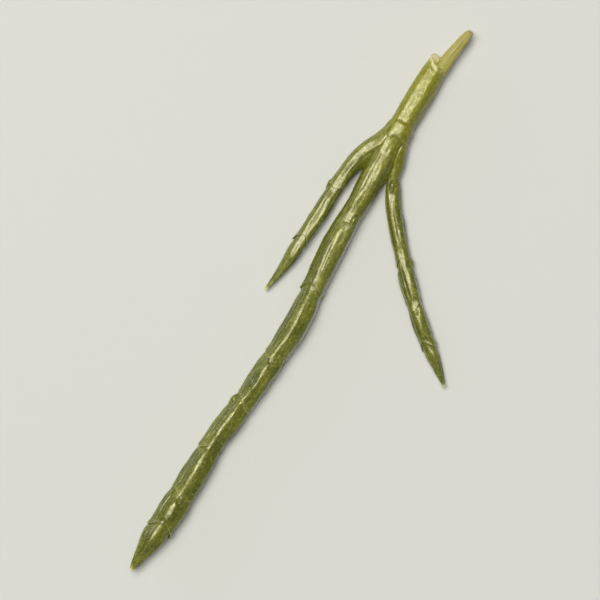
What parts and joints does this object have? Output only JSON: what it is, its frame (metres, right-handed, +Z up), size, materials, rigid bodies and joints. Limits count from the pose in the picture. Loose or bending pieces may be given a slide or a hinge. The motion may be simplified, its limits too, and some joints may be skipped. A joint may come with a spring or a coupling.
{
  "type": "samphire sprig",
  "caption": "Cut sprig of samphire: a jointed, fleshy green stem with side shoots, scale collars and a bare woody core at its cut end, lying flat.",
  "frame": {"origin": "centre of the sprig's box in plan, on the surface that the sprig lies on", "axes": "+X along the main stem from the cut end to the growing tip, +Z up from the surface, +Y towards the longer side shoot"},
  "size_m": [0.0996, 0.033, 0.0044],
  "materials": {
    "fleshy_green": "wet, oily gloss over fleshy green skin",
    "woody_core": "damp, pale yellow plant fibre"
  },
  "bodies": {
    "root": {"samphire_sprig": "fleshy_green"}
  },
  "joints": []
}
